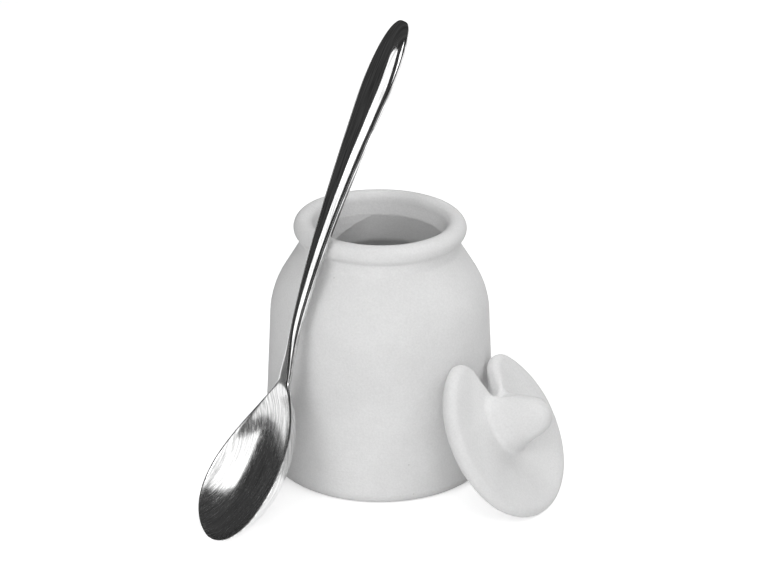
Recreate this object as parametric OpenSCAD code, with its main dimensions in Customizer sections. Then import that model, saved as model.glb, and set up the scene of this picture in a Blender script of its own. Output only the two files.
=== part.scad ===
// Jam pot of pale unglazed clay, with its notched lid leaning at the right and its steel spoon at the left.
// Millimetres. The origin is the middle of the pot's flat foot, +Z is up and the front is -Y.

/* [Pot] */
// Diameter at the table, before the foot edge is rounded
pot_width = 80.2; // [74:0.2:88]
// Height to the top of the rolled rim
pot_height = 87.4; // [84:0.2:96]
// Height of the rim's top above the turn of the shoulder
shoulder_drop = 26; // [22:0.2:30.8]
// Diameter where the side turns into the shoulder
shoulder_width = 73; // [70:0.2:78]
// Radius that softens the turn of the shoulder
shoulder_bend = 30; // [12:1:36]
// Height of the rim's top above the turn of the neck
neck_drop = 10; // [8.4:0.2:11.8]
// Outer diameter of the rolled rim
rim_width = 57.6; // [50:0.2:66]
// Thickness of the rolled rim
rim_bead = 6.7; // [6:0.1:7.4]
// How far the rim stands out beyond the neck
rim_lip = 1.4; // [1:0.1:1.8]
// Thickness of the clay wall and floor
clay_wall = 3.4; // [2.8:0.1:4.4]
// Radius of the edge around the foot
foot_edge = 4; // [2:0.1:6]

/* [Lid] */
// Thickness of the lid at its rolled edge
lid_edge = 5.4; // [5:0.1:7]
// How far the lid's edge stays inside the edge of the rim
lid_setback = 0; // [0:0.1:1.5]
// Depth of the dish between the rolled edge and the knob
dish_depth = 0.9; // [0.3:0.1:1.4]
// Height of the knob above the dish
knob_height = 17; // [14:0.2:19]
// Distance of the knob from the lid's middle towards the notch
knob_aside = 1.2; // [0:0.1:2]
// Radius of the knob's round tip
knob_tip = 6.4; // [5.4:0.1:7]
// Slant of the knob's flank from upright, in degrees
knob_slant = 25; // [18:1:30]
// Width of the spoon notch at its inner end
notch_width = 7.6; // [6:0.1:8]
// Depth of the notch from the lid's edge to its inner end
notch_depth = 16.6; // [15:0.1:18.4]
// Slant of each notch wall, in degrees
notch_slant = 13; // [8:1:15]
// Depth of the locating step under the lid
step_depth = 1.6; // [1.2:0.1:2.4]

/* [Spoon] */
// Length from the bowl's tip to the handle's end
spoon_length = 176.2; // [165:0.2:190]
// Length of the bowl up to the neck
bowl_length = 55.2; // [50:0.2:60]
// Width of the bowl at its rim
bowl_width = 35.6; // [32:0.2:38]
// Depth of the bowl's hollow
bowl_depth = 10.4; // [8:0.1:11.6]
// Thickness of the steel at the bowl's rim
steel_edge = 1.7; // [1.3:0.1:2.2]
// Width of the neck behind the bowl
spoon_neck = 3; // [2.8:0.1:4.4]
// Greatest width of the handle
handle_width = 14.4; // [12:0.2:16]
// Length of the rounded stretch at the handle's end
handle_round = 24; // [18:0.5:32]
// How far the bowl's tip rises above the neck
tip_rise = 6.2; // [4:0.1:9]
// How far the handle's end rises above the neck
end_rise = 2.9; // [0:0.1:6]

/* [Arrangement] */
// Slope of the lid against the table, in degrees
lid_lean = 55.4; // [50:0.2:62]
// Direction from the pot to the lid, in degrees
lid_bearing = -39.2; // [-60:0.2:-20]
// Direction that the lid's knob points, in degrees
lid_facing = -29.8; // [-42:0.2:-24]
// Turn of the lid's notch from level, in degrees
notch_turn = 76; // [70:0.2:96]
// Slope of the spoon against the table, in degrees
spoon_lean = 60.4; // [58:0.2:64]
// Direction that the spoon leans in, in degrees
spoon_bearing = 47.4; // [30:0.2:60]
// Roll of the spoon about its own length, in degrees
spoon_roll = 14.2; // [0:0.2:20]
// Distance of the spoon to the front of the line through the pot's middle
spoon_aside = 3.4; // [0:0.1:6]

/* [Hidden] */
// Gap left between the leaning pieces and the pot
rest_gap = 0.3;
// Play of the lid's locating step in the mouth
step_play = 1.2;
// Radius of the soft turn between shoulder and neck
neck_bend = 3;
// Radius of the corner between the pot's floor and its inner side
floor_bend = 7;
// Radius of the groove under the rolled rim
groove_bend = 2.5;
// Height of the mouth's lower edge above the turn of the neck
throat_rise = 2.4;
// Radius of the lobes beside the notch
lobe_bend = 7;
// Width of the rounding at the notch's inner end
notch_lip = 1.1;
// Distance over which the dish sinks from the rolled edge
dish_fade = 5;
// Distance over which the knob's flank runs out at the notch
knob_fade = 1.6;
// Radius of the flare at the knob's foot
knob_flare = 4;
// Chamfer around the lower edge of the locating step
step_chamfer = 0.8;
// Rise of the handle's crown above its edge at the neck and where it is widest
neck_crown = 0.7;
handle_crown = 3;
// Drop of the handle's underside below its edge at the neck and where it is widest
neck_keel = 1.2;
handle_keel = 2.2;
// Slopes of the spoon's side view at the bowl's tip, at the neck and at the handle's end
tip_slope = 0.02;
heel_slope = 0.19;
end_slope = -0.044;
// Powers that shape the bowl's outline at the tip and neck, its hollow, the handle's taper and end,
// the join of bowl and handle, and the cross-sections of the bowl and the handle
tip_power = 0.51;
heel_power = 0.855;
hollow_power = 1.3;
taper_power = 1.56;
round_power = 2.2;
blend_power = 4;
section_power = 2.9;
crown_power = 2.5;
// Part of the locating step's distance from the middle that it may take beside the notch
step_share = 0.93;
// Counts of points
$fn = 96;
corner_steps = 8;
end_steps = 6;
wall_steps = 6;
lobe_steps = 8;
outer_steps = 34;
edge_turn = 22.5;
crown_rings = 19;
bowl_rings = 32;
handle_rings = 38;
section_points = 32;
contact_steps = 420;

clay = [0.87, 0.865, 0.855];
steel = [0.62, 0.62, 0.63];

pot_radius = pot_width / 2;
shoulder_radius = shoulder_width / 2;
shoulder_height = pot_height - shoulder_drop;
neck_height = pot_height - neck_drop;
neck_radius = rim_width / 2 - rim_lip;
bead_radius = rim_bead / 2;
bead_ring = rim_width / 2 - bead_radius;
bead_height = pot_height - bead_radius;
mouth_radius = bead_ring - bead_radius;

lid_radius = rim_width / 2 - lid_setback;
edge_radius = lid_edge / 2;
lid_ring = lid_radius - edge_radius;
step_radius = mouth_radius - step_play;
notch_radius = notch_width / 2;
notch_middle = lid_radius - notch_depth + notch_radius;

// Turns a point about an axis by an angle
function about_x(p, a) = [p.x, p.y * cos(a) - p.z * sin(a), p.y * sin(a) + p.z * cos(a)];
function about_y(p, a) = [p.x * cos(a) + p.z * sin(a), p.y, p.z * cos(a) - p.x * sin(a)];
function about_z(p, a) = [p.x * cos(a) - p.y * sin(a), p.x * sin(a) + p.y * cos(a), p.z];

// Eases from 0 to 1 as the share goes from 0 to 1
function limit(share) = min(1, max(0, share));
function ease(share) = limit(share) ^ 2 * (3 - 2 * limit(share));

// Unit direction from one point to another, and the point in the middle of a list
function toward(a, b) = (b - a) / norm(b - a);
function middle(ring) = [for (i = [0:2]) [for (p = ring) p[i]] * [for (p = ring) 1] / len(ring)];

// Inward side of the outline that runs from a to b with its body on the left
function left_of(a, b) = [a.y - b.y, b.x - a.x] / norm(b - a);

// Corner b of an outline, moved to the left of both its edges by a depth
function inset_corner(a, b, c, depth) =
  b + (left_of(a, b) + left_of(b, c)) * depth / (1 + left_of(a, b) * left_of(b, c));

// Arc that rounds corner b between a and c
function round_corner(a, b, c, radius) =
  let (u = toward(b, a), v = toward(b, c), half = acos(u * v) / 2)
  let (centre = b + (u + v) / norm(u + v) * radius / sin(half))
  let (first = b + u * radius / tan(half) - centre, last = b + v * radius / tan(half) - centre)
  let (start = atan2(first.y, first.x), sweep = atan2(first.x * last.y - first.y * last.x, first * last))
  [for (i = [0:corner_steps])
    let (angle = start + sweep * i / corner_steps) centre + radius * [cos(angle), sin(angle)]];

// Closed skin through rings of equally many points, with a point in the middle of each end
module loft(rings) {
  count = len(rings[0]);
  last = len(rings) - 1;
  first_end = count * len(rings);
  points = concat([for (ring = rings) each ring], [middle(rings[0]), middle(rings[last])]);
  sides = [for (i = [0:last - 1], j = [0:count - 1])
    let (k = (j + 1) % count, a = i * count, b = a + count)
    each [[a + j, b + j, b + k], [a + j, b + k, a + k]]];
  ends = [for (j = [0:count - 1])
    let (k = (j + 1) % count, b = last * count)
    each [[first_end, j, k], [first_end + 1, b + k, b + j]]];
  polyhedron(points, concat(sides, ends));
}

// Corners of the pot's outside and, one wall further in, of its hollow
foot_corner = [pot_radius, 0];
shoulder_corner = [shoulder_radius, shoulder_height];
neck_corner = [neck_radius, neck_height];
inner_shoulder = inset_corner(foot_corner, shoulder_corner, neck_corner, clay_wall);
inner_neck = [mouth_radius, neck_height + throat_rise];
inner_foot = [inner_shoulder.x + (pot_radius - shoulder_radius), clay_wall];

// Rolled rim, and the arc of the groove that joins the neck to it
rim_middle = [bead_ring, bead_height];
groove_side = neck_radius + groove_bend;
groove_drop = sqrt((bead_radius + groove_bend) ^ 2 - (groove_side - bead_ring) ^ 2);
groove_middle = [groove_side, bead_height - groove_drop];
groove_stop = atan2(groove_drop, bead_ring - groove_side);
rim_groove = [for (i = [0:corner_steps])
  let (angle = 180 + (groove_stop - 180) * i / corner_steps)
  groove_middle + groove_bend * [cos(angle), sin(angle)]];

// Half of the pot cut through its middle
module pot_section() {
  outside = concat(
    [[0, 0]],
    round_corner([0, 0], foot_corner, shoulder_corner, foot_edge),
    round_corner(foot_corner, shoulder_corner, neck_corner, shoulder_bend),
    round_corner(shoulder_corner, neck_corner, rim_groove[0], neck_bend),
    rim_groove);
  inside = concat(
    [rim_middle, [mouth_radius, bead_height]],
    round_corner([mouth_radius, bead_height], inner_neck, inner_shoulder, neck_bend),
    round_corner(inner_neck, inner_shoulder, inner_foot, shoulder_bend - clay_wall),
    round_corner(inner_shoulder, inner_foot, [0, clay_wall], floor_bend),
    [[0, clay_wall]]);
  polygon(concat(outside, inside));
  translate(rim_middle) circle(r = bead_radius);
}

module pot() {
  color(clay) rotate_extrude() pot_section();
}

// The notch lies along +X of the lid, and one of its walls is a line at this distance from the lid's middle
wall_side = [-sin(notch_slant), cos(notch_slant)];
wall_way = [cos(notch_slant), sin(notch_slant)];
wall_offset = notch_radius - notch_middle * sin(notch_slant);
lobe_run = sqrt((lid_radius - lobe_bend) ^ 2 - (wall_offset + lobe_bend) ^ 2);
lobe_middle = wall_side * (wall_offset + lobe_bend) + wall_way * lobe_run;
lobe_angle = atan2(lobe_middle.y, lobe_middle.x);

// Outline of one half of the lid: each entry is a point, its outward direction and the width of its rounding
function half_outline() =
  let (end_stop = 90 + notch_slant)
  let (wall_start = [notch_middle, 0] + notch_radius * wall_side)
  let (wall_stop = lobe_middle - lobe_bend * wall_side)
  concat(
    [for (i = [0:end_steps])
      let (a = 180 + (end_stop - 180) * i / end_steps, way = [cos(a), sin(a)])
      [[notch_middle, 0] + notch_radius * way, -way, notch_lip]],
    [for (i = [1:wall_steps - 1])
      let (share = i / wall_steps, width = notch_lip + (edge_radius - notch_lip) * ease(share))
      [wall_start + (wall_stop - wall_start) * share, -wall_side, width]],
    [for (i = [0:lobe_steps])
      let (a = notch_slant - 90 + (lobe_angle - notch_slant + 90) * i / lobe_steps, way = [cos(a), sin(a)])
      [lobe_middle + lobe_bend * way, way, edge_radius]],
    [for (i = [1:outer_steps])
      let (a = lobe_angle + (180 - lobe_angle) * i / outer_steps, way = [cos(a), sin(a)])
      [lid_radius * way, way, edge_radius]]);

function mirrored(entry) = [[entry[0].x, -entry[0].y], [entry[1].x, -entry[1].y], entry[2]];

lid_half = half_outline();
lid_outline = concat(lid_half, [for (i = [len(lid_half) - 2:-1:1]) mirrored(lid_half[i])]);

// Outline drawn in to where the rounding of the edge ends
lid_inner = [for (entry = lid_outline) entry[0] - entry[1] * entry[2]];

// Distance of a point of the lid from the notch
function notch_distance(p) =
  let (q = [p.x, abs(p.y)], along = (q - [notch_middle, 0]) * wall_way)
  along > 0 ? q * wall_side - wall_offset : norm(q - [notch_middle, 0]) - notch_radius;

// Height of the knob above the dish: a round tip, a slanting flank and a flared foot
flank_top = knob_tip * cos(knob_slant);
flank_top_height = knob_height - knob_tip * (1 - sin(knob_slant));
flare_height = knob_flare * (1 - sin(knob_slant));
flank_foot = flank_top + (flank_top_height - flare_height) * tan(knob_slant);
knob_foot = flank_foot + knob_flare * cos(knob_slant);

function knob_rise(radius) =
  radius < flank_top ? knob_height - knob_tip + sqrt(knob_tip ^ 2 - radius ^ 2)
  : radius < flank_foot ? flank_top_height - (radius - flank_top) / tan(knob_slant)
  : radius < knob_foot ? knob_flare - sqrt(knob_flare ^ 2 - (knob_foot - radius) ^ 2)
  : 0;

// Height of the lid's upper side over the lid's middle plane
function crown_height(p) =
  let (clear = notch_distance(p) - notch_lip)
  let (dish = ease(min(clear, lid_ring - norm(p)) / dish_fade))
  edge_radius - dish_depth * dish + knob_rise(norm(p - [knob_aside, 0])) * ease(clear / knob_fade);

// Ring of the locating step under the lid, which keeps clear of the mouth and of the notch
function step_ring(shrink, height) =
  [for (p = lid_inner)
    let (radius = min(step_radius, norm(p) * step_share) - shrink)
    [p.x * radius / norm(p), p.y * radius / norm(p), height]];

// Shares of the way from the middle to the rolled edge where the rings of the upper side lie
crown_shares = [for (i = [crown_rings:-1:1]) i / (crown_rings + 1)];

function lid_rings() =
  let (inner_end = crown_shares[crown_rings - 1])
  concat(
    [[for (p = lid_inner) [p.x * inner_end, p.y * inner_end, -edge_radius - step_depth]]],
    [step_ring(step_chamfer, -edge_radius - step_depth)],
    [step_ring(0, step_chamfer - edge_radius - step_depth)],
    [step_ring(0, -edge_radius)],
    [for (a = [-90:edge_turn:90])
      [for (entry = lid_outline)
        let (p = entry[0] - entry[1] * entry[2] * (1 - cos(a)))
        [p.x, p.y, a < 90 ? edge_radius * sin(a) : crown_height(p)]]],
    [for (share = crown_shares)
      [for (p = lid_inner) [p.x * share, p.y * share, crown_height(p * share)]]]);

// Place of a point of the lid once the lid leans, before it is pushed up to the pot
function leaning(p) = about_z(about_x(about_z(p, notch_turn), lid_lean), lid_facing + 90);

// Radius of the pot's side at a height
function pot_side(height) = pot_radius + (shoulder_radius - pot_radius) * height / shoulder_height;

// Distance from the pot's axis at which a point keeps its room from the pot's side
lid_rest_height = lid_ring * sin(lid_lean) + edge_radius;
lid_way = [cos(lid_bearing), sin(lid_bearing)];
function lid_push(p, room) =
  let (reach = pot_side(p.z + lid_rest_height) + room + rest_gap, aside = p.x * lid_way.y - p.y * lid_way.x)
  sqrt(reach ^ 2 - aside ^ 2) - p.x * lid_way.x - p.y * lid_way.y;

lid_distance = max(concat(
  [for (p = lid_inner) lid_push(leaning([p.x, p.y, 0]), edge_radius)],
  [for (p = step_ring(0, step_chamfer - edge_radius - step_depth)) lid_push(leaning(p), 0)],
  [for (p = step_ring(step_chamfer, -edge_radius - step_depth)) lid_push(leaning(p), 0)]));

module lid() {
  color(clay)
    translate([lid_way.x * lid_distance, lid_way.y * lid_distance, lid_rest_height])
    rotate([0, 0, lid_facing + 90]) rotate([lid_lean, 0, 0]) rotate([0, 0, notch_turn])
    loft(lid_rings());
}

// Curve between two heights with a given slope at each end
function sweep_height(from, to, slope_from, slope_to, span, t) =
  from * (2 * t ^ 3 - 3 * t ^ 2 + 1) + slope_from * span * (t ^ 3 - 2 * t ^ 2 + t)
  + to * (3 * t ^ 2 - 2 * t ^ 3) + slope_to * span * (t ^ 3 - t ^ 2);

handle_length = spoon_length - bowl_length;
taper_length = handle_length - handle_round;
bowl_widest = tip_power / (tip_power + heel_power);

// Parts of a place x along the spoon: of the bowl, of the handle's taper and of its rounded end
function bowl_part(x) = limit(x / bowl_length);
function taper_part(x) = limit((x - bowl_length) / taper_length);
function round_part(x) = limit((x - bowl_length - taper_length) / handle_round);

// Height of the spoon's edge in side view
function spoon_edge(x) =
  x < bowl_length
  ? sweep_height(tip_rise, 0, tip_slope, heel_slope, bowl_length, bowl_part(x))
  : sweep_height(0, end_rise, heel_slope, end_slope, handle_length, (x - bowl_length) / handle_length);

// Share of the bowl's full width at a place
function egg(x) =
  (bowl_part(x) / bowl_widest) ^ tip_power * ((1 - bowl_part(x)) / (1 - bowl_widest)) ^ heel_power;

function end_fall(x) = sqrt(1 - round_part(x) ^ round_power);

// Half width of the spoon at a place
function spoon_half(x) =
  let (bowl = bowl_width / 2 * egg(x))
  let (taper = (spoon_neck + (handle_width - spoon_neck) * taper_part(x) ^ taper_power) / 2)
  let (handle = bowl_part(x) > bowl_widest ? taper * end_fall(x) : 0)
  (bowl ^ blend_power + handle ^ blend_power) ^ (1 / blend_power);

// Depth of the hollow, rise of the crown and drop of the keel at a place
function hollow(x) = bowl_depth * egg(x) ^ hollow_power;
function body_part(x) = ease((bowl_part(x) - bowl_widest) / (1 - bowl_widest)) * end_fall(x);
function crown(x) = (neck_crown + (handle_crown - neck_crown) * taper_part(x)) * body_part(x);
function keel(x) = (neck_keel + (handle_keel - neck_keel) * taper_part(x)) * body_part(x);

// Cross-section of the spoon at a place, as a ring around its edge
function spoon_ring(x) =
  [for (i = [0:section_points - 1])
    let (a = 360 * i / section_points, side = sin(a) < 0 ? -1 : 1)
    let (middle = spoon_edge(x) - hollow(x) * (1 - abs(cos(a)) ^ section_power))
    let (lip = steel_edge / 2 * sqrt(abs(sin(a))), arch = 1 - abs(cos(a)) ^ crown_power)
    [x, spoon_half(x) * cos(a), middle + side * (lip + arch * (side > 0 ? crown(x) : keel(x)))]];

// Places of the rings, closer together towards the tip, the neck and the handle's end
function spread(count) = [for (i = [1:count]) (1 - cos(180 * (i - 0.5) / count)) / 2];
spoon_places = concat(
  [for (share = spread(bowl_rings)) bowl_length * share],
  [for (share = spread(handle_rings)) bowl_length + handle_length * share]);
spoon_rings = [for (x = spoon_places) spoon_ring(x)];

// Place of a point of the spoon once the spoon leans, before it is set on the table and against the rim
function propped(p) = about_z(about_y(about_x(p, -spoon_roll), -spoon_lean), spoon_bearing);
spoon_rest_height = -min([for (ring = spoon_rings, p = ring) propped(p).z]);

// Distance from the pot's axis that the spoon keeps at a height, along the side and at the rolled rim
rim_room = bead_radius + rest_gap;
function spoon_reach(height) =
  height < shoulder_height ? pot_side(height) + rest_gap
  : abs(height - bead_height) < rim_room ? bead_ring + sqrt(rim_room ^ 2 - (height - bead_height) ^ 2)
  : 0;

// The spoon is drawn back along its lean until its whole length clears the pot
spoon_way = [cos(spoon_bearing), sin(spoon_bearing)];
spoon_side = [spoon_way.y, -spoon_way.x];
spoon_distance = max([for (i = [0:contact_steps], p = spoon_ring(spoon_length * i / contact_steps))
  let (q = propped(p), reach = spoon_reach(q.z + spoon_rest_height))
  let (aside = q.x * spoon_side.x + q.y * spoon_side.y + spoon_aside)
  if (reach > abs(aside)) q.x * spoon_way.x + q.y * spoon_way.y + sqrt(reach ^ 2 - aside ^ 2)]);
spoon_spot = spoon_side * spoon_aside - spoon_way * spoon_distance;

module spoon() {
  color(steel)
    translate([spoon_spot.x, spoon_spot.y, spoon_rest_height])
    rotate([0, 0, spoon_bearing]) rotate([0, -spoon_lean, 0]) rotate([-spoon_roll, 0, 0])
    loft(spoon_rings);
}

pot();
lid();
spoon();
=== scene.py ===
import math

import bmesh
import bpy
from mathutils import Matrix, Vector


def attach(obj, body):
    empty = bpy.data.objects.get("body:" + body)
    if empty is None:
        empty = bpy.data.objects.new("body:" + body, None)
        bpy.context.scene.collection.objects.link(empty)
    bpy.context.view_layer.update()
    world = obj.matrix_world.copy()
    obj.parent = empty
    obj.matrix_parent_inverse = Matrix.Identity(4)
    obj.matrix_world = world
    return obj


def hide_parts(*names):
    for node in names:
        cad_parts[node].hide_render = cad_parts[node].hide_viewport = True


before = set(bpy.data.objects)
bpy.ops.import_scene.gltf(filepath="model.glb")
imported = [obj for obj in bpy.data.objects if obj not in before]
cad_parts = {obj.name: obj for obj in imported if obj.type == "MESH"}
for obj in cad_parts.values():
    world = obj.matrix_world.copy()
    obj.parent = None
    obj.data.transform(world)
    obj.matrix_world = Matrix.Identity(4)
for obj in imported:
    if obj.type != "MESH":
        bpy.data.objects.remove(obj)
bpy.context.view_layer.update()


# Camera
# It looks down a little on the pot's front from about 60 cm, with a long lens.
mm = 0.001
view_distance = 621.4 * mm
view_height = 63.6 * mm
view_fall = math.radians(23.43)
camera_data = bpy.data.cameras.new("camera")
camera_data.sensor_width = 36
camera_data.lens = 87.6
camera = bpy.data.objects.new("camera", camera_data)
camera_rise = view_distance * math.sin(view_fall)
camera.location = (0, -view_distance * math.cos(view_fall), view_height + camera_rise)
camera.rotation_euler = (math.pi / 2 - view_fall, 0, 0)
bpy.context.collection.objects.link(camera)
bpy.context.scene.camera = camera
bpy.context.scene.view_settings.view_transform = "Standard"


# Pot
# The pot is one piece of pale clay, fired without glaze, so its skin is matt and slightly gritty.
# Its wall is turned: a soft foot, a side that leans in, a shoulder, a short neck and a thick rolled rim.
pot_radius = 40.1 * mm
shoulder_place = Vector((36.5, 0, 61.4)) * mm
neck_place = Vector((26.9, 0, 77.4)) * mm
rim_middle = Vector((25.45, 0, 84.05)) * mm
rim_roll = 3.35 * mm
foot_edge = 4 * mm
shoulder_bend = 30 * mm
neck_bend = 3 * mm
groove_bend = 2.2 * mm
clay_wall = 3.4 * mm
throat_rise = 2.4 * mm
throat_lean = math.radians(11)
throat_edge = 2 * mm
throat_foot = Vector((24.6, 0, 69)) * mm
throat_bend = 9 * mm
floor_bend = 7 * mm
rim_settle = 0.8 * mm
throat_dip = 9 * mm
dip_reach = 18 * mm
dip_flare = 0.75
pot_steps = 144
pot_wander_height = 0.35 * mm
pot_wander_width = 22 * mm
weld_gap = 0.002 * mm

# Where the dip is, in degrees from the right-hand side round by the back
dip_start = 97
dip_growth = 52
dip_stop = 235
dip_ending = 40


def start_point(name, place):
    """Begins a piece as one loose point in edit mode."""
    bpy.ops.object.select_all(action="DESELECT")
    bpy.ops.mesh.primitive_plane_add(size=mm)
    piece = bpy.context.object
    piece.name = name
    piece.data.name = name
    bpy.ops.object.mode_set(mode="EDIT")
    bpy.ops.mesh.select_all(action="SELECT")
    bpy.ops.mesh.merge(type="CENTER")
    bpy.ops.transform.translate(value=place)
    return piece


def run(here, there, pitch=4 * mm):
    """Extrudes the loose end of an outline in short steps to another place."""
    steps = max(1, round((there - here).length / pitch))
    for step in range(steps):
        bpy.ops.mesh.extrude_region_move(TRANSFORM_OT_translate={"value": (there - here) / steps})


def sweep(start, centre, end, steps):
    """Spins the loose end of an outline about a centre, from its start to its end."""
    axis = (start - centre).cross(end - centre).normalized()
    angle = (start - centre).angle(end - centre)
    bpy.ops.mesh.spin(steps=steps, angle=-angle, center=centre, axis=axis)


def draw(here, corners):
    """Draws an outline through corners, each a place and the radius that rounds it."""
    for (corner, radius), (after, _) in zip(corners, corners[1:]):
        back = (here - corner).normalized()
        ahead = (after - corner).normalized()
        half = back.angle(ahead) / 2
        centre = corner + (back + ahead).normalized() * radius / math.sin(half)
        start = corner + back * radius / math.tan(half)
        end = corner + ahead * radius / math.tan(half)
        run(here, start)
        sweep(start, centre, end, steps=8)
        here = end
    run(here, corners[-1][0])


def leave_edit(piece):
    """Closes the seams of a piece, turns its faces outwards and goes back to object mode."""
    bpy.ops.mesh.select_all(action="SELECT")
    bpy.ops.mesh.remove_doubles(threshold=weld_gap)
    bpy.ops.mesh.normals_make_consistent(inside=False)
    bpy.ops.object.mode_set(mode="OBJECT")


def inset_place(before, corner, after, depth):
    """Corner of an outline moved inwards from both its runs by a depth."""
    first = Vector((before.z - corner.z, 0, corner.x - before.x)).normalized()
    second = Vector((corner.z - after.z, 0, after.x - corner.x)).normalized()
    return corner + (first + second) * depth / (1 + first.dot(second))


foot_place = Vector((pot_radius, 0, 0))
groove_middle = neck_place + Vector((groove_bend, 0, 0))
groove_aside = groove_middle.x - rim_middle.x
groove_middle.z = rim_middle.z - math.sqrt((rim_roll + groove_bend) ** 2 - groove_aside ** 2)
groove_start = groove_middle - Vector((groove_bend, 0, 0))
rim_under = rim_middle + (groove_middle - rim_middle).normalized() * rim_roll
rim_top = rim_middle + Vector((0, 0, rim_roll))
rim_inside = rim_middle + Vector((-math.cos(throat_lean), 0, math.sin(throat_lean))) * rim_roll
throat_height = neck_place.z + throat_rise
throat_place = Vector((rim_inside.x, 0, throat_height))
throat_place.x -= (rim_inside.z - throat_height) * math.tan(throat_lean)
inner_shoulder = inset_place(foot_place, shoulder_place, neck_place, clay_wall)
inner_foot = Vector((inner_shoulder.x + pot_radius - shoulder_place.x, 0, clay_wall))
inner_floor = Vector((0, 0, clay_wall))

pot = start_point("clay_pot", Vector((0, 0, 0)))
draw(Vector((0, 0, 0)), [
    (foot_place, foot_edge),
    (shoulder_place, shoulder_bend),
    (neck_place, neck_bend),
    (groove_start, 0)])
sweep(groove_start, groove_middle, rim_under, steps=8)
sweep(rim_under, rim_middle, rim_top, steps=12)
sweep(rim_top, rim_middle, rim_inside, steps=8)
draw(rim_inside, [
    (throat_place, throat_edge),
    (throat_foot, throat_bend),
    (inner_shoulder, shoulder_bend / 2),
    (inner_foot, floor_bend),
    (inner_floor, 0)])
bpy.ops.mesh.select_all(action="SELECT")
bpy.ops.mesh.spin(steps=pot_steps, angle=2 * math.pi, center=(0, 0, 0), axis=(0, 0, 1))
leave_edit(pot)


def limited(share):
    """Keeps a share between 0 and 1."""
    return min(1, max(0, share))


def eased(share):
    """Eases from 0 to 1 as the share goes from 0 to 1."""
    share = limited(share)
    return share * share * (3 - 2 * share)


def press(piece, name, height, share):
    """Moves each point of a piece up by its share of a height, as a weighted press does."""
    group = piece.vertex_groups.new(name=name)
    for point in piece.data.vertices:
        group.add([point.index], share(point.co), "REPLACE")
    push = piece.modifiers.new(name, "DISPLACE")
    push.direction = "Z"
    push.mid_level = 0
    push.strength = height
    push.vertex_group = name
    bpy.ops.object.modifier_apply(modifier=name)
    piece.vertex_groups.clear()


def settle_share(place):
    """Share of the rim's settling, which grows up the shoulder and towards the right."""
    up = (place.z - shoulder_place.z) / (rim_middle.z - shoulder_place.z)
    return eased(up) * (0.5 + 0.5 * place.x / pot_radius)


def dip_share(place):
    """Share of the throat's dip, where the inner wall was drawn down further at the back left."""
    turn = math.degrees(math.atan2(place.y, place.x)) % 360
    around = limited((turn - dip_start) / dip_growth) * eased((dip_stop - turn) / dip_ending)
    above = (rim_inside.z - place.z) / (rim_inside.z - throat_place.z)
    below = (place.z - throat_place.z + dip_reach) / dip_reach
    wall = inner_shoulder.x - place.xy.length + clay_wall / 2
    inside = place.xy.length < throat_place.x + max(0, throat_place.z - place.z) * dip_flare and wall > 0
    return around * limited(min(above, below)) * inside


press(pot, "settle", -rim_settle, settle_share)
press(pot, "dip", -throat_dip, dip_share)


def make_uneven(piece, height, width):
    """Lets the surface wander by a height over a width, as clay smoothed by hand does."""
    wander = bpy.data.textures.new(piece.name + "_wander", "CLOUDS")
    wander.noise_scale = width
    wander.noise_depth = 1
    uneven = piece.modifiers.new("uneven", "DISPLACE")
    uneven.texture = wander
    uneven.texture_coords = "LOCAL"
    uneven.strength = height
    bpy.ops.object.modifier_apply(modifier="uneven")


make_uneven(pot, pot_wander_height, pot_wander_width)
bpy.ops.object.shade_smooth_by_angle(angle=math.radians(50))


def add_node(tree, kind, **values):
    """Adds a node and sets its input sockets by name, with spaces written as underscores."""
    node = tree.nodes.new(kind)
    for name, value in values.items():
        node.inputs[name.replace("_", " ")].default_value = value
    return node


def combine(tree, operation, first, second):
    """Adds a math node that works on two outputs, and returns its own output."""
    node = add_node(tree, "ShaderNodeMath")
    node.operation = operation
    tree.links.new(first, node.inputs[0])
    tree.links.new(second, node.inputs[1])
    return node.outputs["Value"]


def plain_grey(value):
    """Colour without hue, as a socket takes it."""
    return (value, value, value, 1)


clay_dark = 0.715
clay_light = 0.795
speck_grey = 0.5
speck_choice = 0.8


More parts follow.
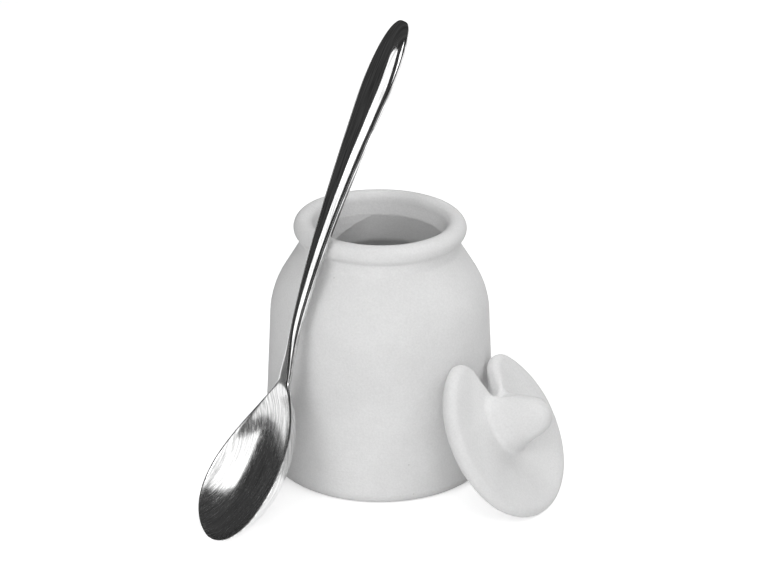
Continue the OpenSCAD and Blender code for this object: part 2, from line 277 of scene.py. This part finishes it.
def make_clay(name, line_pitch, line_depth):
    """Matt bisque with mottling, fine grit, pinholes and turning lines of a pitch and depth."""
    clay = bpy.data.materials.new(name)
    clay.use_nodes = True
    tree = clay.node_tree
    link = tree.links.new
    skin = tree.nodes["Principled BSDF"]
    skin.inputs["Roughness"].default_value = 0.82
    skin.inputs["Specular IOR Level"].default_value = 0.25
    place = add_node(tree, "ShaderNodeTexCoord")

    # Broad mottling and fine grain of the fired body
    mottle = add_node(tree, "ShaderNodeTexNoise", Scale=55, Detail=5, Roughness=0.6)
    link(place.outputs["Object"], mottle.inputs["Vector"])
    grit = add_node(tree, "ShaderNodeTexNoise", Scale=1500, Detail=3, Roughness=0.6)
    link(place.outputs["Object"], grit.inputs["Vector"])
    grain = add_node(tree, "ShaderNodeMix", Factor=0.55)
    link(mottle.outputs["Fac"], grain.inputs["A"])
    link(grit.outputs["Fac"], grain.inputs["B"])
    body = add_node(tree, "ShaderNodeValToRGB")
    body.color_ramp.elements[0].position = 0.35
    body.color_ramp.elements[0].color = plain_grey(clay_dark)
    body.color_ramp.elements[1].position = 0.65
    body.color_ramp.elements[1].color = plain_grey(clay_light)
    link(grain.outputs["Result"], body.inputs["Fac"])

    # Dark specks in a few cells of a cell pattern
    cells = add_node(tree, "ShaderNodeTexVoronoi", Scale=210)
    link(place.outputs["Object"], cells.inputs["Vector"])
    chosen = add_node(tree, "ShaderNodeMath")
    chosen.operation = "GREATER_THAN"
    chosen.inputs[1].default_value = speck_choice
    link(cells.outputs["Color"], chosen.inputs[0])
    near = add_node(tree, "ShaderNodeMapRange", From_Min=0.02, From_Max=0.06, To_Min=1, To_Max=0)
    link(cells.outputs["Distance"], near.inputs["Value"])
    speck = combine(tree, "MULTIPLY", chosen.outputs["Value"], near.outputs["Result"])
    shade = add_node(tree, "ShaderNodeMix")
    shade.data_type = "RGBA"
    shade.inputs["B"].default_value = plain_grey(speck_grey)
    link(speck, shade.inputs["Factor"])
    link(body.outputs["Color"], shade.inputs["A"])
    link(shade.outputs["Result"], skin.inputs["Base Color"])

    # Grit, turning lines and pinholes in relief
    stretch = add_node(tree, "ShaderNodeMapping", Scale=(9, 9, 1 / line_pitch))
    link(place.outputs["Object"], stretch.inputs["Vector"])
    lines = add_node(tree, "ShaderNodeTexNoise", Scale=1, Detail=3, Roughness=0.5)
    link(stretch.outputs["Vector"], lines.inputs["Vector"])
    grit_relief = add_node(tree, "ShaderNodeBump", Strength=0.9, Distance=0.14 * mm)
    link(grit.outputs["Fac"], grit_relief.inputs["Height"])
    line_relief = add_node(tree, "ShaderNodeBump", Strength=0.5, Distance=line_depth)
    link(lines.outputs["Fac"], line_relief.inputs["Height"])
    link(grit_relief.outputs["Normal"], line_relief.inputs["Normal"])
    pit_relief = add_node(tree, "ShaderNodeBump", Strength=0.8, Distance=0.25 * mm)
    pit_relief.invert = True
    link(speck, pit_relief.inputs["Height"])
    link(line_relief.outputs["Normal"], pit_relief.inputs["Normal"])
    link(pit_relief.outputs["Normal"], skin.inputs["Normal"])
    return clay


pot.data.materials.append(make_clay("turned_bisque", line_pitch=2.2 * mm, line_depth=0.3 * mm))
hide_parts("pot")
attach(pot, "pot_body")


# Lid
# The lid is a thick disc of the same clay with a rolled edge, a slot for the spoon and a pulled knob.
# A shallow step under it sits in the pot's mouth. Here it leans on the pot's side with the slot at the top.
lid_radius = 28.8 * mm
lid_roll = 2.7 * mm
roll_share = 0.98
roll_segments = 6
slot_half = 3.8 * mm
slot_reach = 12.2 * mm
slot_slant = math.radians(13)
lobe_bend = 7 * mm
slot_lip_share = 0.4
dish_depth = 0.6 * mm
dish_fade = 9 * mm
knob_height = 17 * mm
knob_aside = 1.2 * mm
knob_tip = 6.4 * mm
knob_slant = math.radians(8)
nose_slant = math.radians(25)
knob_flare = 1.8 * mm
knob_fade = 1.6 * mm
slot_lip = 1.1 * mm
step_depth = 1.6 * mm
step_share = 0.8
step_wall_share = 0.6
step_taper = 0.97
step_rings = 6
crown_rings = 19
lid_wander_height = 0.3 * mm
lid_wander_width = 14 * mm
wall_gap = 0.3 * mm
tiny = 0.1 * mm
lid_turn = math.radians(76)
lid_lean = math.radians(55.4)
lid_facing = math.radians(-29.8)
lid_bearing = math.radians(-39.2)
lid_distance = 52.83 * mm

slot_middle = Vector((slot_reach + slot_half, 0, 0))
wall_side = Vector((-math.sin(slot_slant), math.cos(slot_slant), 0))
wall_way = Vector((math.cos(slot_slant), math.sin(slot_slant), 0))
wall_offset = slot_half - slot_middle.x * math.sin(slot_slant)
lobe_run = math.sqrt((lid_radius - lobe_bend) ** 2 - (wall_offset + lobe_bend) ** 2)
lobe_middle = wall_side * (wall_offset + lobe_bend) + wall_way * lobe_run
slot_end = slot_middle - Vector((slot_half, 0, 0))
wall_start = slot_middle + wall_side * slot_half
wall_stop = lobe_middle - wall_side * lobe_bend
lobe_stop = lobe_middle.normalized() * lid_radius
lid_side = Vector((0, lid_radius, 0))
lid_back = Vector((-lid_radius, 0, 0))

# Half of the outline is drawn on the lower side, mirrored and raised to the upper side
down = Vector((0, 0, -lid_roll))
lid = start_point("clay_lid", slot_end + down)
sweep(slot_end + down, slot_middle + down, wall_start + down, steps=7)
run(wall_start + down, wall_stop + down, pitch=1.6 * mm)
sweep(wall_stop + down, lobe_middle + down, lobe_stop + down, steps=9)
sweep(lobe_stop + down, down, lid_side + down, steps=14)
sweep(lid_side + down, down, lid_back + down, steps=22)
bpy.ops.mesh.select_all(action="SELECT")
bpy.ops.mesh.duplicate_move()
bpy.ops.transform.resize(value=(1, -1, 1), center_override=(0, 0, 0))
bpy.ops.mesh.select_all(action="SELECT")
bpy.ops.mesh.remove_doubles(threshold=weld_gap)
bpy.ops.mesh.edge_face_add()
bpy.ops.mesh.extrude_region_move(TRANSFORM_OT_translate={"value": (0, 0, 2 * lid_roll)})
leave_edit(lid)


def slot_distance(place):
    """Distance of a place on the lid from the slot's wall."""
    spot = Vector((place.x, abs(place.y), 0))
    if (spot - slot_middle).dot(wall_way) > 0:
        return spot.dot(wall_side) - wall_offset
    return (spot - slot_middle).length - slot_half


# Both edges of the disc are rolled over, less so at the slot's inner end
wall_length = (wall_stop - wall_start).length
weights = lid.data.attributes.new("bevel_weight_edge", "FLOAT", "EDGE")
for edge in lid.data.edges:
    first, second = (lid.data.vertices[index].co for index in edge.vertices)
    if abs(first.z - second.z) < tiny:
        middle = (first + second) / 2
        along = (Vector((middle.x, abs(middle.y), 0)) - wall_start).dot(wall_way) / wall_length
        by_slot = slot_distance(middle) < wall_gap
        slot_weight = slot_lip_share + (1 - slot_lip_share) * eased(along)
        weights.data[edge.index].value = slot_weight if by_slot else 1
roll = lid.modifiers.new("roll", "BEVEL")
roll.limit_method = "WEIGHT"
roll.width = lid_roll * roll_share
roll.segments = roll_segments
roll.use_clamp_overlap = False
bpy.ops.object.modifier_apply(modifier="roll")

# Rings towards the middle carry the dish and knob above and the step below
bpy.ops.object.mode_set(mode="EDIT")
bpy.ops.mesh.select_mode(type="FACE")


def select_flat(side):
    """Selects the flat middle of the lid's upper or lower side."""
    mesh = bmesh.from_edit_mesh(lid.data)
    bpy.ops.mesh.select_all(action="DESELECT")
    flat = max(mesh.faces, key=lambda face: face.calc_area() * (face.normal.z * side > 0.9))
    flat.select_set(True)
    mesh.faces.active = flat


def inner_ring(share, drop=0):
    """Extrudes the selected face downwards by a drop and draws it in to a share of its width."""
    bpy.ops.mesh.extrude_region_move(TRANSFORM_OT_translate={"value": (0, 0, -drop)})
    bpy.ops.transform.resize(value=(share, share, 1), center_override=(0, 0, 0))


def close_with_rings(rings):
    """Fills the selected face with evenly spaced rings and closes them at the middle."""
    for ring in range(rings, 0, -1):
        inner_ring(ring / (ring + 1))
    bpy.ops.mesh.merge(type="CENTER")


select_flat(1)
close_with_rings(crown_rings)
select_flat(-1)
inner_ring(step_share)
bpy.ops.mesh.extrude_region_move(TRANSFORM_OT_translate={"value": (0, 0, -step_depth * step_wall_share)})
inner_ring(step_taper, step_depth * (1 - step_wall_share))
close_with_rings(step_rings)
bpy.ops.mesh.select_mode(type="VERT")
leave_edit(lid)


def knob_rise(radius, slant):
    """Height of the knob: a round tip, a slanting flank and a flared foot."""
    flank_top = knob_tip * math.cos(slant)
    flank_top_height = knob_height - knob_tip * (1 - math.sin(slant))
    flare_height = knob_flare * (1 - math.sin(slant))
    flank_foot = flank_top + (flank_top_height - flare_height) * math.tan(slant)
    knob_foot = flank_foot + knob_flare * math.cos(slant)
    if radius < flank_top:
        return knob_height - knob_tip + math.sqrt(knob_tip ** 2 - radius ** 2)
    if radius < flank_foot:
        return flank_top_height - (radius - flank_top) / math.tan(slant)
    if radius < knob_foot:
        return knob_flare - math.sqrt(knob_flare ** 2 - (knob_foot - radius) ** 2)
    return 0


def knob_share(place):
    """Share of the knob's height, with a flatter flank that runs out towards the slot."""
    if place.z < 0:
        return 0
    spot = place.xy - Vector((knob_aside, 0))
    nose = eased(spot.x / max(spot.length, tiny))
    rise = knob_rise(spot.length, knob_slant + (nose_slant - knob_slant) * nose)
    return rise / knob_height * eased((slot_distance(place) - slot_lip) / knob_fade)


def dish_share(place):
    """Share of the shallow dish in the lid's upper side, which fades out towards its edges."""
    if place.z < 0:
        return 0
    edge = lid_radius - lid_roll - place.xy.length
    return eased(min(edge, slot_distance(place) - slot_lip) / dish_fade)


press(lid, "dish", -dish_depth, dish_share)
press(lid, "knob", knob_height, knob_share)


def round_off(piece, levels):
    """Smooths a piece with subdivision."""
    smooth = piece.modifiers.new("smooth", "SUBSURF")
    smooth.levels = levels
    smooth.render_levels = levels
    bpy.ops.object.modifier_apply(modifier="smooth")
    bpy.ops.object.shade_smooth()


def set_down(piece, placement):
    """Puts a piece in its place and leaves the place in its mesh."""
    piece.matrix_world = placement
    bpy.ops.object.transform_apply(location=True, rotation=True, scale=True)


round_off(lid, levels=2)
make_uneven(lid, lid_wander_height, lid_wander_width)
lid_height = (lid_radius - lid_roll) * math.sin(lid_lean) + lid_roll
lid_spot = Vector((math.cos(lid_bearing) * lid_distance, math.sin(lid_bearing) * lid_distance, lid_height))
set_down(lid, Matrix.Translation(lid_spot)
         @ Matrix.Rotation(lid_facing + math.pi / 2, 4, "Z")
         @ Matrix.Rotation(lid_lean, 4, "X")
         @ Matrix.Rotation(lid_turn, 4, "Z"))
lid.data.materials.append(make_clay("pressed_bisque", line_pitch=40 * mm, line_depth=0.3 * mm))
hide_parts("lid")
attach(lid, "lid_body")


# Spoon
# The spoon is one blank of steel, drawn out to a crowned handle and pressed into an egg-shaped bowl.
# It is polished bright, with fine lengthwise marks. It stands on its tip and leans on the pot's rim.
spoon_length = 176.2 * mm
bowl_length = 55.2 * mm
bowl_half = 17.8 * mm
bowl_depth = 10.4 * mm
steel_half = 0.85 * mm
neck_half = 1.5 * mm
handle_half = 7.2 * mm
handle_round = 24 * mm
tip_rise = 6.2 * mm
end_rise = 2.9 * mm
tip_slope = 0.02
heel_slope = 0.19
end_slope = -0.044
neck_crown = 0.6 * mm
neck_fillet = 1.4 * mm
fillet_reach = 8 * mm
neck_reach = 20 * mm
handle_crown = 3 * mm
neck_keel = 1.2 * mm
handle_keel = 2.2 * mm
tip_power = 0.51
heel_power = 0.855
hollow_power = 1.3
taper_power = 1.56
round_power = 2.2
blend_power = 2
section_power = 2.9
neck_power = 2
end_power = 4
blunt_power = 3.5
heel_ease = 0.16
rim_land = 0.8 * mm
bowl_rings = 36
handle_rings = 44
section_points = 40
spoon_lean = math.radians(60.4)
spoon_bearing = math.radians(47.4)
spoon_roll = math.radians(14.2)
spoon_spot = Vector((-49.1, -58.41, 0)) * mm

handle_length = spoon_length - bowl_length
taper_length = handle_length - handle_round
bowl_widest = tip_power / (tip_power + heel_power)


def bowl_part(along):
    """Share of the bowl's length that lies before a place along the spoon, counted from the bowl's tip."""
    return limited(along / bowl_length)


def taper_part(along):
    """Share of the handle's taper that lies before a place along the spoon."""
    return limited((along - bowl_length) / taper_length)


def egg(along):
    """Share of the bowl's full width at a place along the spoon."""
    part = bowl_part(along)
    return (part / bowl_widest) ** tip_power * ((1 - part) / (1 - bowl_widest)) ** heel_power


def end_fall(along):
    """Share of the handle's width that is left where its end is rounded."""
    part = limited((along - bowl_length - taper_length) / handle_round)
    return math.sqrt(1 - part ** round_power)


def half_width(along):
    """Half width of the spoon at a place along it."""
    bowl = bowl_half * egg(along)
    taper = neck_half + (handle_half - neck_half) * taper_part(along) ** taper_power
    fillet = neck_fillet * math.exp(-((along - bowl_length) / fillet_reach) ** 2)
    handle = taper * end_fall(along) + fillet if bowl_part(along) > bowl_widest else 0
    return (bowl ** blend_power + handle ** blend_power) ** (1 / blend_power)


def side_curve(start, end, start_slope, end_slope, span, t):
    """Height between two ends of a side view with a slope at each."""
    return (start * (2 * t ** 3 - 3 * t ** 2 + 1) + start_slope * span * (t ** 3 - 2 * t ** 2 + t)
            + end * (3 * t ** 2 - 2 * t ** 3) + end_slope * span * (t ** 3 - t ** 2))


def edge_height(along):
    """Height of the spoon's edge in side view."""
    if along < bowl_length:
        return side_curve(tip_rise, 0, tip_slope, heel_slope, bowl_length, along / bowl_length)
    share = (along - bowl_length) / handle_length
    return side_curve(0, end_rise, heel_slope, end_slope, handle_length, share)


def spread(count):
    """Shares of a length, closer together towards both ends."""
    return [(1 - math.cos(math.pi * (step + 0.5) / count)) / 2 for step in range(count)]


places = [bowl_length * share for share in spread(bowl_rings)]
places += [bowl_length + handle_length * share for share in spread(handle_rings)]

# A closed section is extruded from ring to ring and widened on the way
bpy.ops.object.select_all(action="DESELECT")
bpy.ops.mesh.primitive_circle_add(vertices=section_points, radius=1, rotation=(0, math.pi / 2, 0))
spoon = bpy.context.object
spoon.name = "steel_spoon"
spoon.data.name = "steel_spoon"
bpy.ops.object.transform_apply(location=True, rotation=True, scale=True)
for point in spoon.data.vertices:
    point.co.z = math.copysign(math.sqrt(abs(point.co.z)), point.co.z)
bpy.ops.object.mode_set(mode="EDIT")
bpy.ops.mesh.select_all(action="SELECT")
here = Vector((places[0], 0, edge_height(places[0])))
bpy.ops.transform.resize(value=(1, half_width(places[0]), steel_half))
bpy.ops.transform.translate(value=here)
for before, along in zip(places, places[1:]):
    there = Vector((along, 0, edge_height(along)))
    bpy.ops.mesh.extrude_region_move(TRANSFORM_OT_translate={"value": there - here})
    wider = half_width(along) / half_width(before)
    bpy.ops.transform.resize(value=(1, wider, 1), center_override=there)
    here = there
bpy.ops.mesh.edge_face_add()
mesh = bmesh.from_edit_mesh(spoon.data)
bpy.ops.mesh.select_all(action="DESELECT")
for point in mesh.verts:
    point.select_set(point.co.x < places[0] + weld_gap)
bpy.ops.mesh.edge_face_add()
leave_edit(spoon)


def arch(place, power, land=0):
    """Share of a rise or hollow across the spoon: 1 in the middle, 0 at the edge or its flat land."""
    half = half_width(place.x)
    return 1 - limited(abs(place.y) / max(half - land, half / 2)) ** power


def body_part(along):
    """Share of the handle's thickness: it grows from the middle of the bowl and ends bluntly."""
    blunt = math.sqrt(1 - limited((along - bowl_length - taper_length) / handle_round) ** blunt_power)
    return eased((bowl_part(along) - bowl_widest) / (1 - bowl_widest)) * blunt


def crown_power(along):
    """Power of the section's arch, rounder at the neck and squarer at the end."""
    return neck_power + (end_power - neck_power) * taper_part(along)


def crown_share(place):
    """Share of the rise on the handle's upper side, which starts flat at the bowl."""
    if place.z < edge_height(place.x):
        return 0
    rise = neck_crown + (handle_crown - neck_crown) * taper_part(place.x)
    flat = eased((place.x - bowl_length) / neck_reach)
    return rise / handle_crown * flat * body_part(place.x) * arch(place, crown_power(place.x))


def keel_share(place):
    """Share of the drop on the handle's under side."""
    if place.z > edge_height(place.x):
        return 0
    drop = neck_keel + (handle_keel - neck_keel) * taper_part(place.x)
    return drop / handle_keel * body_part(place.x) * arch(place, crown_power(place.x))


def hollow_share(place):
    """Share of the bowl's depth, with a smooth heel and a flat land at the rim."""
    heel = eased((1 - bowl_part(place.x)) / heel_ease)
    return heel * limited(egg(place.x)) ** hollow_power * arch(place, section_power, rim_land)


press(spoon, "crown", handle_crown, crown_share)
press(spoon, "keel", -handle_keel, keel_share)
press(spoon, "bowl", -bowl_depth, hollow_share)
round_off(spoon, levels=2)

# A map along and across the blank carries the polishing marks
marks = spoon.data.uv_layers.new(name="polish")
for corner in spoon.data.loops:
    place = spoon.data.vertices[corner.vertex_index].co
    marks.data[corner.index].uv = (place.x / spoon_length, place.y / spoon_length)

leaned = (Matrix.Rotation(spoon_bearing, 4, "Z")
          @ Matrix.Rotation(-spoon_lean, 4, "Y")
          @ Matrix.Rotation(-spoon_roll, 4, "X"))
spoon_spot.z = -min((leaned @ point.co).z for point in spoon.data.vertices)
set_down(spoon, Matrix.Translation(spoon_spot) @ leaned)

# Bright steel, whose roughness goes from worn to bright between two shares of the spoon's length
worn_share = 0.27
bright_share = 0.36
worn_roughness = 0.19
bright_roughness = 0.07
least_haze = 0.6
most_haze = 1.5
streak_dark = 0.42
streak_light = 0.9
steel = bpy.data.materials.new("polished_steel")
steel.use_nodes = True
tree = steel.node_tree
link = tree.links.new
skin = tree.nodes["Principled BSDF"]
skin.inputs["Metallic"].default_value = 1
polish = add_node(tree, "ShaderNodeUVMap")
polish.uv_map = "polish"

# Long fine marks of the polishing wheel
drawn = add_node(tree, "ShaderNodeMapping", Scale=(60, 560, 1))
link(polish.outputs["UV"], drawn.inputs["Vector"])
scratches = add_node(tree, "ShaderNodeTexNoise", Scale=1, Detail=6, Roughness=0.72)
link(drawn.outputs["Vector"], scratches.inputs["Vector"])
scratch_relief = add_node(tree, "ShaderNodeBump", Strength=0.12, Distance=0.02 * mm)
link(scratches.outputs["Fac"], scratch_relief.inputs["Height"])
link(scratch_relief.outputs["Normal"], skin.inputs["Normal"])

# Broader streaks that differ in tone
brushed = add_node(tree, "ShaderNodeMapping", Scale=(12, 330, 1))
link(polish.outputs["UV"], brushed.inputs["Vector"])
streaks = add_node(tree, "ShaderNodeTexNoise", Scale=1, Detail=6, Roughness=0.7)
link(brushed.outputs["Vector"], streaks.inputs["Vector"])
tint = add_node(tree, "ShaderNodeValToRGB")
tint.color_ramp.elements[0].position = 0.38
tint.color_ramp.elements[0].color = plain_grey(streak_dark)
tint.color_ramp.elements[1].position = 0.62
tint.color_ramp.elements[1].color = plain_grey(streak_light)
link(streaks.outputs["Fac"], tint.inputs["Fac"])
link(tint.outputs["Color"], skin.inputs["Base Color"])

# The bowl is worn duller than the handle
blank = add_node(tree, "ShaderNodeSeparateXYZ")
link(polish.outputs["UV"], blank.inputs["Vector"])
wear = add_node(tree, "ShaderNodeMapRange", From_Min=worn_share, From_Max=bright_share,
                To_Min=worn_roughness, To_Max=bright_roughness)
link(blank.outputs["X"], wear.inputs["Value"])
haze = add_node(tree, "ShaderNodeMapRange", From_Min=0.4, From_Max=0.62, To_Min=least_haze, To_Max=most_haze)
link(scratches.outputs["Fac"], haze.inputs["Value"])
dull = combine(tree, "MULTIPLY", wear.outputs["Result"], haze.outputs["Result"])
link(dull, skin.inputs["Roughness"])
spoon.data.materials.append(steel)
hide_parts("spoon")
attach(spoon, "spoon_body")


# Floor
# A wide white sheet stands in for the table top and runs on behind the pot.
# Two dark cards lie on it outside the picture, so that the steel has something dark to mirror.
floor_size = 8
floor_drop = 0.2 * mm
floor_grey = 0.85
floor_glow = 0.55
card_drop = 0.1 * mm
bpy.ops.object.select_all(action="DESELECT")
bpy.ops.mesh.primitive_plane_add(size=floor_size, location=(0, 0, -floor_drop))
floor = bpy.context.object
floor.name = "floor"
bpy.ops.object.transform_apply(location=True, rotation=True, scale=True)
white = bpy.data.materials.new("white_sheet")
white.use_nodes = True
tree = white.node_tree
link = tree.links.new
skin = tree.nodes["Principled BSDF"]
skin.inputs["Base Color"].default_value = plain_grey(floor_grey)
skin.inputs["Roughness"].default_value = 0.9
skin.inputs["Specular IOR Level"].default_value = 0.1
skin.inputs["Emission Color"].default_value = plain_grey(1)

# The sheet glows for the camera and in mirror-like pieces, so it looks white and still takes shadows
rays = add_node(tree, "ShaderNodeLightPath")
seen = combine(tree, "MAXIMUM", rays.outputs["Is Camera Ray"], rays.outputs["Is Glossy Ray"])
shown = combine(tree, "MAXIMUM", seen, rays.outputs["Is Transmission Ray"])
glow = add_node(tree, "ShaderNodeMath")
glow.operation = "MULTIPLY"
glow.inputs[1].default_value = floor_glow
link(shown, glow.inputs[0])
link(glow.outputs["Value"], skin.inputs["Emission Strength"])
floor.data.materials.append(white)


def add_card(name, left, right, near, far, grey):
    """Lays a dark card on the floor, which is seen only in the steel and does not shade the clay."""
    bpy.ops.object.select_all(action="DESELECT")
    bpy.ops.mesh.primitive_plane_add(size=1, location=((left + right) / 2, (near + far) / 2, -card_drop))
    card = bpy.context.object
    card.name = name
    card.scale = (right - left, far - near, 1)
    bpy.ops.object.transform_apply(location=True, rotation=True, scale=True)
    card.visible_camera = False
    card.visible_diffuse = False
    card.visible_shadow = False
    paper = bpy.data.materials.new(name)
    paper.use_nodes = True
    surface = paper.node_tree.nodes["Principled BSDF"]
    surface.inputs["Base Color"].default_value = plain_grey(grey)
    surface.inputs["Roughness"].default_value = 0.9
    card.data.materials.append(paper)


add_card("front_card", left=-1.6, right=1, near=-1.9, far=-0.13, grey=0.06)
add_card("left_card", left=-1.6, right=-0.25, near=-0.13, far=1.2, grey=0.34)


# Light
# A large soft box with a brighter middle stands at the left of the camera.
# Smaller fills stand at the right and behind, and three of them do not show in the steel.
lamp_aim = Vector((0, 0, 45 * mm))
world_grey = 0.055


def add_lamp(name, turn, height, distance, width, length, watts):
    """Adds a flat lamp facing the pot, at degrees to the right of the camera and degrees of height."""
    lamp_data = bpy.data.lights.new(name, "AREA")
    lamp_data.shape = "RECTANGLE"
    lamp_data.size = width
    lamp_data.size_y = length
    lamp_data.energy = watts
    lamp = bpy.data.objects.new(name, lamp_data)
    turn = math.radians(turn)
    height = math.radians(height)
    way = Vector((math.sin(turn) * math.cos(height), -math.cos(turn) * math.cos(height), math.sin(height)))
    lamp.location = lamp_aim + way * distance
    lamp.rotation_euler = way.to_track_quat("Z", "Y").to_euler()
    bpy.context.collection.objects.link(lamp)


add_lamp("soft_box", turn=-19.5, height=27.5, distance=1.4, width=1.22, length=1.46, watts=9)
add_lamp("soft_box_middle", turn=-27, height=36, distance=1.3, width=0.35, length=0.35, watts=2.2)
add_lamp("front_fill", turn=18, height=42, distance=1.3, width=0.5, length=0.5, watts=2.6)
add_lamp("right_front", turn=50, height=30, distance=1.3, width=0.5, length=0.5, watts=1.8)
add_lamp("right_back", turn=120, height=45, distance=1.3, width=0.8, length=0.8, watts=6)
add_lamp("back_top", turn=180, height=78, distance=1.3, width=0.8, length=0.8, watts=3.6)
for name in ("front_fill", "right_back", "back_top"):
    bpy.data.objects[name].visible_glossy = False
world = bpy.data.worlds.new("studio")
world.use_nodes = True
world.node_tree.nodes["Background"].inputs["Color"].default_value = plain_grey(world_grey)
bpy.context.scene.world = world
